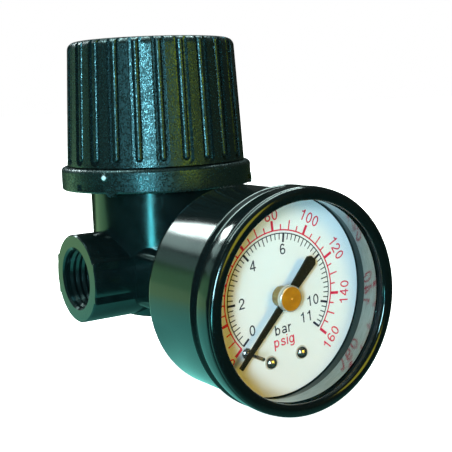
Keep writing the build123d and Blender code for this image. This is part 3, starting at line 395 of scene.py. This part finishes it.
paint = cast_paint()
case_gloss = gloss_paint()
looks = {
    paint: ["body"],
    moulded_plastic("bonnet_plastic", PLASTIC_BLACK, 22e-6, PIP_CENTRE): ["bonnet"],
    moulded_plastic("knob_plastic", PLASTIC_BLACK, 24e-6): ["knob"],
    moulded_plastic("plug_plastic", (0.005, 0.007, 0.007), 20e-6): ["bottom_plug"],
    case_gloss: ["gauge_case", "bezel"],
    turned_metal("turned_brass", (0.44, 0.29, 0.1), (0.76, 0.54, 0.22), KNOB_CENTRE, "Z"): [
        "valve_seat", "valve_poppet", "relief_stud", "spring_nut"],
    turned_metal("spindle_steel", (0.4, 0.4, 0.41), (0.62, 0.62, 0.63), GAUGE_CENTRE, "Y"): [
        "sector_arbor", "pinion_arbor"],
    turned_metal("turned_steel", (0.4, 0.41, 0.43), (0.6, 0.61, 0.63), KNOB_CENTRE, "Z"): [
        "adjusting_screw"],
    machined_brass("machined_brass", (0.74, 0.52, 0.22), 0.28): [
        "gauge_stem", "tube_tip", "movement_back_plate", "movement_front_plate",
        "movement_pillars", "sector_gear", "link"],
    machined_brass("drawn_bronze", (0.64, 0.4, 0.22), 0.32): ["bourdon_tube", "hairspring"],
    plated_steel("zinc_plate", (0.6, 0.61, 0.63), 0.2, 0.38): [
        "rear_port_plug", "spring_plate", "case_screws", "movement_screws"],
    plated_steel("drawn_wire", (0.4, 0.4, 0.41), 0.24, 0.42, stretch=(1, 1, 3)): [
        "range_spring", "poppet_spring", "screw_clip"],
    plated_steel("polished_steel", (0.8, 0.76, 0.66), 0.16, 0.26, depth=0.6e-6): ["dial_screws"],
    plated_steel("pin_steel", (0.62, 0.6, 0.55), 0.2, 0.34, depth=0.6e-6): ["stop_pin"],
    rubber(): ["poppet_seal", "plug_o_ring", "diaphragm", "lens_gasket"],
    acetal(): ["slip_ring", "thrust_washer"],
    lacquered_hub(): ["pointer_hub"],
    dial_paint(): ["dial_plate"],
    pointer_paint(): ["pointer"],
    mirror_ring(): ["lens_ring"],
    window(): ["lens"],
}
for look, names in looks.items():
    for name in names:
        nodes[name].data.materials.clear()
        nodes[name].data.materials.append(look)


# Mesh helpers
def join_rows(shape, rows, smooth=False):
    """Faces between each row of vertices and the next. Each row is a closed ring."""
    for here, after in zip(rows, rows[1:]):
        for k in range(len(here)):
            m = (k + 1) % len(here)
            shape.faces.new((here[k], after[k], after[m], here[m])).smooth = smooth


def close_ends(shape, rows):
    """Faces over the first row and the last."""
    shape.faces.new(rows[0])
    shape.faces.new(reversed(rows[-1]))


def finished_mesh(name, shape):
    """Mesh of this shape, with its faces turned outwards."""
    bmesh.ops.recalc_face_normals(shape, faces=shape.faces)
    mesh = bpy.data.meshes.new(name)
    shape.to_mesh(mesh)
    shape.free()
    return mesh


def add_object(name, data):
    """Object of this mesh, light or camera, in the scene."""
    thing = bpy.data.objects.new(name, data)
    bpy.context.scene.collection.objects.link(thing)
    return thing


def new_piece(name, mesh, material, body):
    """Piece of this mesh, riding on a body."""
    piece = add_object(name, mesh)
    mesh.materials.append(material)
    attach(piece, body)
    return piece


# Print on the dial, as a thin layer of ink
CLOCKING = math.radians(5.4)  # the gauge is screwed in a little past upright
INK_HEIGHT = 0.02 * MM
INK_STEP = 0.0004 * MM  # between one stroke's height and the next, so that crossings stay clean
INK_STEPS = 7
STROKE = 0.125  # of a glyph's height
OVAL_STEP = 20  # degrees between two points of a glyph's curve
ARC_STEP = math.radians(2)
SHARPEST = 0.5  # least cosine by which a stroke's corner widens


def oval(x, y, across, up, first=0, last=360):
    """Points along an ellipse in a glyph, between two angles in degrees."""
    steps = round(abs(last - first) / OVAL_STEP)
    angles = [math.radians(first + (last - first) * i / steps) for i in range(steps + 1)]
    return [(x + across * math.cos(a), y + up * math.sin(a)) for a in angles]


# Glyph: its advance and its strokes, in heights of a digit
GLYPHS = {
    "0": (0.78, [oval(0.39, 0.5, 0.25, 0.44)]),
    "1": (0.78, [[(0.46, 0), (0.46, 1)], [(0.45, 0.92), (0.36, 0.79), (0.17, 0.74)]]),
    "2": (0.78, [oval(0.385, 0.7, 0.235, 0.24, 190, -30)
                 + [(0.45, 0.42), (0.22, 0.22), (0.13, 0.065), (0.65, 0.065)]]),
    "4": (0.78, [[(0.5, 0), (0.5, 1)], [(0.48, 0.94), (0.1, 0.32)], [(0.06, 0.3), (0.69, 0.3)]]),
    "6": (0.78, [oval(0.39, 0.3, 0.24, 0.24), oval(0.41, 0.5, 0.26, 0.44, 40, 205)]),
    "8": (0.78, [oval(0.39, 0.735, 0.2, 0.205), oval(0.39, 0.285, 0.245, 0.225)]),
    "b": (0.78, [[(0.12, 0), (0.12, 1)], oval(0.35, 0.365, 0.23, 0.305)]),
    "a": (0.76, [oval(0.35, 0.5, 0.21, 0.17, 160, 0) + [(0.56, 0.12), (0.63, 0.05)],
                 oval(0.34, 0.21, 0.21, 0.15)]),
    "r": (0.48, [[(0.12, 0), (0.12, 0.73)], oval(0.38, 0.42, 0.26, 0.25, 180, 85)]),
    "p": (0.78, [[(0.12, -0.29), (0.12, 0.73)], oval(0.35, 0.365, 0.23, 0.305)]),
    "s": (0.68, [[(0.53, 0.54), (0.46, 0.63), (0.34, 0.67), (0.2, 0.63), (0.15, 0.53),
                  (0.21, 0.43), (0.35, 0.38), (0.5, 0.31), (0.56, 0.2), (0.5, 0.1),
                  (0.34, 0.06), (0.19, 0.1), (0.11, 0.2)]]),
    "i": (0.31, [[(0.155, 0), (0.155, 0.73)], [(0.155, 0.87), (0.155, 1)]]),
    "g": (0.78, [oval(0.35, 0.37, 0.23, 0.305), [(0.6, 0.73), (0.6, 0)]
                 + oval(0.37, -0.04, 0.23, 0.19, 0, -150)]),
}


def dial_point(place, lift):
    """Point over the dial's face, from its place on the dial."""
    turned = Matrix.Rotation(CLOCKING, 2) @ place
    return Vector((GAUGE_X + turned.x, DIAL_FACE - lift, GAUGE_Z + turned.y))


def polar(radius, angle):
    """Place on the dial, from its radius and angle."""
    return Vector((radius * math.cos(angle), radius * math.sin(angle)))


def add_stroke(layer, places, width):
    """Line of ink through these places of the dial, closed if it ends where it starts."""
    closed = (places[0] - places[-1]).length < width / 100
    if closed:
        places = places[:-1]
    lift = INK_HEIGHT + len(layer.verts) % INK_STEPS * INK_STEP
    count = len(places)
    rows = []
    for i, place in enumerate(places):
        ways = []
        if closed or i:
            ways.append((place - places[i - 1]).normalized())
        if closed or i + 1 < count:
            ways.append((places[(i + 1) % count] - place).normalized())
        way = sum(ways, Vector((0, 0))).normalized()
        side = Vector((-way.y, way.x)) * width / 2 / max(SHARPEST, way.dot(ways[0]))
        rows.append([layer.verts.new(dial_point(place + shift, height))
                     for shift, height in ((-side, 0), (side, 0), (side, lift), (-side, lift))])
    if closed:
        rows.append(rows[0])
    else:
        close_ends(layer, rows)
    join_rows(layer, rows)


def add_arc(layer, radius, width, first, last):
    """Line of ink along a circle, between two angles."""
    steps = round((last - first) / ARC_STEP)
    add_stroke(layer, [polar(radius, first + (last - first) * i / steps)
                       for i in range(steps + 1)], width)


def add_tick(layer, angle, inside, outside, width):
    """Radial tick of ink."""
    add_stroke(layer, [polar(inside, angle), polar(outside, angle)], width)


def add_word(layer, text, height, centre, turn=0.0):
    """Word of ink round this place, its baseline turned on the dial."""
    pen = -sum(GLYPHS[letter][0] for letter in text) / 2
    for letter in text:
        advance, strokes = GLYPHS[letter]
        for stroke in strokes:
            places = [Matrix.Rotation(turn, 2) @ Vector((pen + x, y - 0.5)) for x, y in stroke]
            add_stroke(layer, [centre + place * height for place in places], STROKE * height)
        pen += advance


NAVY = (0.004, 0.007, 0.03)
CRIMSON = (0.72, 0.006, 0.06)
FINE_LINE = 0.19 * MM
BOLD_LINE = 0.42 * MM
RED_FINE = 0.25 * MM
RED_BOLD = 0.52 * MM
SHARED_ZERO = math.radians(-142)  # zero of both scales
DOWN = math.radians(-90)
UNIT_HEIGHT = 1.95 * MM

BAR_SPAN = math.radians(-24.43)  # of one bar on the dial
BAR_ZERO = math.radians(224.7)
BAR_FIRST = 0.6
BAR_LAST = 11
BAR_ARC = 11.5 * MM
BAR_BOLD_TICK = 9.85 * MM  # radius at which it starts
BAR_WHOLE_TICK = 9.95 * MM
BAR_FIFTH_TICK = 10.35 * MM
BAR_NUMBERS = {2: 8.4, 4: 8.5, 6: 8.6, 8: 8.5, 10: 7.9, 11: 7.7}  # number: radius of its centre
BAR_ZERO_PLACE = (8.3 * MM, math.radians(-145))  # radius and angle of the 0
BAR_DIGIT = 1.98 * MM
BAR_WORD_RADIUS = 6.2 * MM

PSI_SPAN = math.radians(-270 / 160)  # of one psi on the dial
PSI_ZERO = math.radians(225)
PSI_FIRST = 10
PSI_LAST = 160
PSI_STEP = 5
PSI_ARC = 12.1 * MM
PSI_BOLD_TICK = 13.95 * MM  # radius at which it ends
PSI_TEN_TICK = 13.9 * MM
PSI_FIVE_TICK = 13.15 * MM
PSI_NUMBERS = (0, 20, 40, 60, 80, 100, 120, 140, 160)
PSI_FACING_OUT = (0, 20, 140, 160)  # numbers with their feet on the outside
PSI_NUMBER_RADIUS = 15.45 * MM
PSI_TOP_NUMBER = 80  # sits a little further in
PSI_TOP_RADIUS = 15.0 * MM
PSI_DIGIT = 2.05 * MM
PSI_WORD_RADIUS = 8.4 * MM


def print_bar_scale(layer):
    """Inner scale in bar, in fifths, with its numbers upright."""
    first = BAR_ZERO + BAR_SPAN * BAR_LAST
    add_arc(layer, BAR_ARC, FINE_LINE, first, SHARED_ZERO + FULL_TURN)
    for fifth in range(round(BAR_FIRST * 5), BAR_LAST * 5 + 1):
        angle = BAR_ZERO + BAR_SPAN * fifth / 5
        if fifth / 5 in BAR_NUMBERS:
            add_tick(layer, angle, BAR_BOLD_TICK, BAR_ARC, BOLD_LINE)
        elif fifth % 5 == 0:
            add_tick(layer, angle, BAR_WHOLE_TICK, BAR_ARC, FINE_LINE)
        else:
            add_tick(layer, angle, BAR_FIFTH_TICK, BAR_ARC, FINE_LINE)
    add_tick(layer, SHARED_ZERO, BAR_BOLD_TICK, BAR_ARC, BOLD_LINE)
    for number, radius in BAR_NUMBERS.items():
        add_word(layer, str(number), BAR_DIGIT, polar(radius * MM, BAR_ZERO + BAR_SPAN * number))
    add_word(layer, "0", BAR_DIGIT, polar(*BAR_ZERO_PLACE))
    add_word(layer, "bar", UNIT_HEIGHT, polar(BAR_WORD_RADIUS, DOWN))


def print_psi_scale(layer):
    """Outer scale in psi, in fives, with its numbers along the circle."""
    first = PSI_ZERO + PSI_SPAN * PSI_LAST
    add_arc(layer, PSI_ARC, RED_FINE, first, SHARED_ZERO + FULL_TURN)
    for pressure in range(PSI_FIRST, PSI_LAST + 1, PSI_STEP):
        angle = PSI_ZERO + PSI_SPAN * pressure
        if pressure in PSI_NUMBERS:
            add_tick(layer, angle, PSI_ARC, PSI_BOLD_TICK, RED_BOLD)
        elif pressure % 10 == 0:
            add_tick(layer, angle, PSI_ARC, PSI_TEN_TICK, RED_FINE)
        else:
            add_tick(layer, angle, PSI_ARC, PSI_FIVE_TICK, RED_FINE)
    add_tick(layer, SHARED_ZERO, PSI_ARC, PSI_BOLD_TICK, RED_BOLD)
    for number in PSI_NUMBERS:
        angle = PSI_ZERO + PSI_SPAN * number if number else SHARED_ZERO
        turn = angle - math.radians(90)
        if number in PSI_FACING_OUT:
            turn += math.pi
        radius = PSI_TOP_RADIUS if number == PSI_TOP_NUMBER else PSI_NUMBER_RADIUS
        add_word(layer, str(number), PSI_DIGIT, polar(radius, angle), turn)
    add_word(layer, "psig", UNIT_HEIGHT, polar(PSI_WORD_RADIUS, DOWN))


for name, colour, slot, draw in (
        ("bar_scale_print", NAVY, "dial_ink", print_bar_scale),
        ("psi_scale_print", CRIMSON, "dial_red", print_psi_scale)):
    ink = bmesh.new()
    draw(ink)
    new_piece(name, finished_mesh(name, ink), print_ink(name + "_ink", colour), "regulator")


# Threads in the two ports: a right-handed ridge that stands in from the bore
THREAD_ROOT = 6.17 * MM  # just outside the bore, so the ridge grows out of the wall
THREAD_CREST = 5.72 * MM
THREAD_PITCH = 25.4 * MM / 19  # 19 threads to the inch
THREAD_FOOT = 0.44  # half the ridge's width at its foot, in pitches
THREAD_TOP = 0.08  # and at its crest
THREAD_START = 0.75 * MM  # from the port's mouth
THREAD_END = 10.3 * MM
THREAD_STEPS = 60  # in a turn
THREAD_RUN_IN = 0.5  # turns over which the ridge rises to its full height
THREAD_LEAST = 0.02  # share of its height at the very ends


def thread_ridge(name, to_frame):
    """Helical ridge along X from a port's mouth inwards, placed by a matrix."""
    ridge = bmesh.new()
    turns = (THREAD_END - THREAD_START) / THREAD_PITCH
    steps = round(turns * THREAD_STEPS)
    rows = []
    for i in range(steps + 1):
        turn = turns * i / steps
        angle = FULL_TURN * turn
        rise = min(1.0, turn / THREAD_RUN_IN, (turns - turn) / THREAD_RUN_IN)
        crest = THREAD_ROOT + (THREAD_CREST - THREAD_ROOT) * max(rise, THREAD_LEAST)
        middle = THREAD_START + THREAD_PITCH * turn
        flanks = ((THREAD_ROOT, -THREAD_FOOT), (crest, -THREAD_TOP), (crest, THREAD_TOP),
                  (THREAD_ROOT, THREAD_FOOT))
        rows.append([ridge.verts.new((middle + shift * THREAD_PITCH, radius * math.cos(angle),
                                      radius * math.sin(angle)))
                     for radius, shift in flanks])
    close_ends(ridge, rows)
    join_rows(ridge, rows)
    bmesh.ops.transform(ridge, matrix=to_frame, verts=ridge.verts)
    new_piece(name, finished_mesh(name, ridge), paint, "regulator")


thread_ridge("inlet_thread", Matrix.Identity(4))
thread_ridge("outlet_thread",
             Matrix.Translation((OUTLET_FACE, 0, 0)) @ Matrix.Rotation(math.pi, 4, "Z"))


# Bezel as it is rolled from sheet: a bead at its rear edge, a valley, a barrel skirt, and a rounded
# lip. The pairs are depth in front of the ports' axis and radius, in millimetres. The profile stays
# inside the CAD bezel's largest radius and its length.
BEZEL_OUTSIDE = (
    (44.47, 19.67), (44.45, 19.85), (44.47, 20.1), (44.56, 20.32), (44.72, 20.45), (44.92, 20.49),
    (45.12, 20.44), (45.35, 20.3), (45.6, 20.12), (45.85, 19.97), (46.1, 19.89), (46.3, 19.9),
    (46.5, 20.02), (46.68, 20.2), (46.88, 20.33), (47.2, 20.4), (47.8, 20.45), (48.6, 20.49),
    (49.3, 20.495), (49.8, 20.49), (50.18, 20.45), (50.36, 20.37), (50.47, 20.3), (50.57, 20.29),
    (50.68, 20.34), (50.8, 20.36), (50.95, 20.31), (51.11, 20.2), (51.26, 20.02), (51.39, 19.8),
    (51.47, 19.5), (51.5, 19.2), (51.48, 18.9), (51.41, 18.62), (51.27, 18.34), (51.06, 18.13),
    (50.82, 18.03), (50.62, 18.0))
BEZEL_INSIDE = ((50.6, 18.02), (50.6, 20.03), (46.7, 20.03), (46.68, 19.69), (44.5, 19.68))
BEZEL_STEPS = 3  # between two points of the outside
BEZEL_TURNS = 240  # steps round the axis


def flowing(points, steps):
    """Points of a smooth line through these."""
    line = []
    for i in range(len(points) - 1):
        a, b, c, d = (Vector(points[min(max(k, 0), len(points) - 1)]) for k in range(i - 1, i + 3))
        for step in range(steps):
            t = step / steps
            line.append((2 * b + (c - a) * t + (2 * a - 5 * b + 4 * c - d) * t ** 2
                         + (3 * b - a - 3 * c + d) * t ** 3) / 2)
    return line + [Vector(points[-1])]


def turned_shell(name, profile, turns):
    """Mesh turned about the gauge's axis from a closed profile of depths and radii."""
    shell = bmesh.new()
    rows = []
    for i in range(turns):
        angle = FULL_TURN * i / turns
        rows.append([shell.verts.new((GAUGE_X + radius * MM * math.cos(angle), -depth * MM,
                                      GAUGE_Z + radius * MM * math.sin(angle)))
                     for depth, radius in profile])
    join_rows(shell, rows + [rows[0]], smooth=True)
    return finished_mesh(name, shell)


bezel_profile = flowing(BEZEL_OUTSIDE, BEZEL_STEPS) + [Vector(point) for point in BEZEL_INSIDE]
rolled_bezel = new_piece("rolled_bezel", turned_shell("rolled_bezel", bezel_profile, BEZEL_TURNS),
                         case_gloss, "regulator")
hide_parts("bezel")


# Floor. The camera sees a white table. The black paint mirrors a lit sheet that leans to the left on
# its way back, dark round that, and a streak painted in the table as the key light's reflection.
TABLE_GLOW = 1.0
TABLE_DARK = 0.05  # glow beside the sheet
SHEET_GLOW = 1.2
SHEET_X = -0.01
SHEET_DRIFT = 0.55  # to the left for each metre back
SHEET_HALF = 0.06
SHEET_FLARE = 0.2  # wider for each metre back
SHEET_SOFT = 0.02
SHEET_FRONT = -0.04
SHEET_NEAR = (0.25, 1, 0.88)
SHEET_FAR = (0.55, 1, 0.5)
SHEET_FAR_Y = 0.12
SHADE_PLACE = (0.02, 0.012, 0)  # where the body shades the sheet under itself
SHADE_CORE = 0.018
SHADE_EDGE = 0.036
SHADE_DEPTH = 0.75
# Painted reflection of the key light in the table, seen only in mirrors
STREAK_AZIMUTH = math.radians(-43)
STREAK_HALF = 0.014
STREAK_SOFT = 0.4  # of that half width, to each side
STREAK_START = 0.08  # from the middle of the floor
STREAK_FULL = 0.14
STREAK_GLOW = 28.0
STREAK_COLOUR = (0.2, 0.78, 1)
FLOOR_HALF = 4.0
FLOOR_DROP = 0.0002


def seen_directly(tree):
    """1 for what the camera looks at, and 0 for what lights or is mirrored in the part."""
    path = tree.nodes.new("ShaderNodeLightPath")
    return path.outputs["Is Camera Ray"]


def lit_sheet(tree, x, y):
    """Sheet from 0 to 1 with the body's shade in it, for x counted from its middle."""
    half = math_node(tree, "MULTIPLY_ADD", y, SHEET_FLARE, SHEET_HALF)
    across = math_node(tree, "MULTIPLY_ADD", y, SHEET_DRIFT, x)
    inside = math_node(tree, "SUBTRACT", half, math_node(tree, "ABSOLUTE", across))
    behind = spread(tree, y, 0, 1, SHEET_FRONT - SHEET_SOFT, SHEET_FRONT + SHEET_SOFT)
    sheet = math_node(tree, "MULTIPLY", behind, spread(tree, inside, 0, 1, -SHEET_SOFT, SHEET_SOFT))
    shade = spread(tree, distance_from(tree, SHADE_PLACE, (1, 1, 0)), 1 - SHADE_DEPTH, 1,
                   SHADE_CORE, SHADE_EDGE)
    return math_node(tree, "MULTIPLY", sheet, shade)


def key_streak(tree, x, y):
    """Painted reflection of the key light in the table: a streak from 0 to 1 towards the key light,
    for x counted from the sheet's middle.
    """
    side, ahead = math.cos(STREAK_AZIMUTH), math.sin(STREAK_AZIMUTH)
    offset = math_node(tree, "MULTIPLY_ADD", y, ahead,
                       math_node(tree, "MULTIPLY_ADD", x, side, (SHEET_X - GAUGE_X) * side))
    reach = math_node(tree, "MULTIPLY_ADD", x, ahead, math_node(tree, "MULTIPLY", y, -side))
    return math_node(tree, "MULTIPLY", spread(tree, reach, 0, 1, STREAK_START, STREAK_FULL), spread(
        tree, math_node(tree, "ABSOLUTE", offset), 1, 0, (1 - STREAK_SOFT) * STREAK_HALF,
        (1 + STREAK_SOFT) * STREAK_HALF))


def pale_floor():
    """White light table, faintly mottled, with what the part mirrors in it."""
    material, tree, shader = start_material("light_table", (0.93, 0.94, 0.94), 0.6, specular=0.2)
    shader.inputs["Emission Color"].default_value = (1, 1, 1, 1)
    shader.inputs["Emission Strength"].default_value = TABLE_GLOW
    mottle = spread(tree, noise(tree, 40, detail=4), 0, 1)
    tree.links.new(blend_colours(tree, mottle, (0.94, 0.95, 0.95), (0.91, 0.93, 0.93)),
                   shader.inputs["Base Color"])
    raise_surface(tree, shader, noise(tree, 600), 8e-6)
    x, y, _ = axes_of(tree, placed(tree, origin=(SHEET_X, 0, 0)))
    streak = key_streak(tree, x, y)
    tint = blend_colours(tree, spread(tree, y, 0, 1, 0.0, SHEET_FAR_Y), SHEET_NEAR, SHEET_FAR)
    sheet = math_node(tree, "MULTIPLY_ADD", lit_sheet(tree, x, y), SHEET_GLOW, TABLE_DARK)
    glow = tree.nodes.new("ShaderNodeEmission")
    tree.links.new(blend_colours(tree, streak, tint, STREAK_COLOUR), glow.inputs["Color"])
    tree.links.new(math_node(tree, "MULTIPLY_ADD", streak, STREAK_GLOW, sheet),
                   glow.inputs["Strength"])
    mix = tree.nodes.new("ShaderNodeMixShader")
    tree.links.new(seen_directly(tree), mix.inputs[0])
    tree.links.new(glow.outputs["Emission"], mix.inputs[1])
    tree.links.new(shader.outputs["BSDF"], mix.inputs[2])
    output = [node for node in tree.nodes if node.type == "OUTPUT_MATERIAL"][0]
    tree.links.new(mix.outputs["Shader"], output.inputs["Surface"])
    return material


floor_height = cad_box[0][2] - FLOOR_DROP
floor_mesh = bpy.data.meshes.new("table_top")
floor_mesh.from_pydata([(x * FLOOR_HALF, y * FLOOR_HALF, floor_height)
                        for x, y in ((-1, -1), (1, -1), (1, 1), (-1, 1))], [], [(0, 1, 2, 3)])
floor_mesh.materials.append(pale_floor())
floor = add_object("table_top", floor_mesh)

# Lights
LIT_POINT = Vector((GAUGE_X, -0.015, 0.012))


def softbox(name, azimuth, elevation, distance, width, height, power, colour):
    """Area light that faces the part. The azimuth counts from straight in front of the gauge."""
    a, e = math.radians(azimuth), math.radians(elevation)
    outward = Vector((math.sin(a) * math.cos(e), -math.cos(a) * math.cos(e), math.sin(e)))
    lamp = bpy.data.lights.new(name, "AREA")
    lamp.shape = "RECTANGLE"
    lamp.size, lamp.size_y = width, height
    lamp.energy = power
    lamp.color = colour
    holder = add_object(name, lamp)
    holder.location = LIT_POINT + outward * distance
    holder.rotation_euler = (-outward).to_track_quat("-Z", "Y").to_euler()


softbox("key", -43, 10, 0.6, 0.08, 0.2, 4.1, (0.6, 0.84, 1))
softbox("back_softbox", -169, 32, 0.6, 0.16, 0.08, 0.9, (0.95, 1, 1))
softbox("back_edge", -157, 25, 0.6, 0.12, 0.08, 0.08, (0.8, 1, 0.97))
softbox("back_foot", -149, 16, 0.6, 0.12, 0.08, 0.02, (0.65, 1, 0.9))
softbox("top_strip", 180, 72, 1.0, 1.5, 0.22, 20, (0.9, 1, 0.98))
softbox("warm_fill", 10, 13, 0.7, 0.3, 0.32, 2, (1, 0.66, 0.05))

# Studio round the part: white as the camera sees it. The part mirrors dark walls under a ceiling
# that is lit straight overhead, and a lit backdrop in the case's left side. The pairs are height,
# from 0 straight below to 1 straight above, and colour.
STUDIO = ((0.5, (0.03, 0.04, 0.035)), (0.95, (0.07, 0.08, 0.08)), (1.0, (1, 1, 1)))
BACKDROP_WAY = Vector((-0.56, 0.83, 0.0)).normalized()
BACKDROP_EDGE = math.cos(math.radians(15))
BACKDROP_CORE = math.cos(math.radians(8))
BACKDROP_COLOUR = (0.42, 0.95, 0.46)

world = bpy.data.worlds.new("studio")
bpy.context.scene.world = world
world.use_nodes = True
sky = world.node_tree
background = sky.nodes["Background"]
direction = sky.nodes.new("ShaderNodeTexCoord").outputs["Generated"]
heights = sky.nodes.new("ShaderNodeValToRGB")
stops = heights.color_ramp.elements
stops.new(STUDIO[1][0])
for stop, (height, colour) in zip(stops, STUDIO):
    stop.position = height
    stop.color = (*colour, 1)
sky.links.new(math_node(sky, "MULTIPLY_ADD", axes_of(sky, direction)[2], 0.5, 0.5),
              heights.inputs["Fac"])
toward = sky.nodes.new("ShaderNodeVectorMath")
toward.operation = "DOT_PRODUCT"
toward.inputs[1].default_value = BACKDROP_WAY
sky.links.new(direction, toward.inputs[0])
backdrop = spread(sky, toward.outputs["Value"], 0, 1, BACKDROP_EDGE, BACKDROP_CORE)
around = blend_colours(sky, backdrop, heights.outputs["Color"], BACKDROP_COLOUR)
sky.links.new(blend_colours(sky, seen_directly(sky), around, (1, 1, 1)),
              background.inputs["Color"])
background.inputs["Strength"].default_value = 1.0

# Camera
camera_data = bpy.data.cameras.new("photo_camera")
camera_data.lens = CAMERA_LENS
camera_data.sensor_width = CAMERA_SENSOR
camera_data.clip_start = CAMERA_NEAR
camera = add_object("photo_camera", camera_data)
back = Vector((math.sin(CAMERA_AZIMUTH) * math.cos(CAMERA_ELEVATION),
               -math.cos(CAMERA_AZIMUTH) * math.cos(CAMERA_ELEVATION),
               math.sin(CAMERA_ELEVATION)))
right = (-back).cross(Vector((0, 0, 1))).normalized()
up = right.cross(-back)
level_axes = Matrix((right, up, back)).transposed().to_4x4()
camera.matrix_world = (Matrix.Translation(CAMERA_PLACE) @ level_axes
                       @ Matrix.Rotation(CAMERA_ROLL, 4, "Z"))
bpy.context.scene.camera = camera
bpy.context.scene.view_settings.view_transform = "Standard"
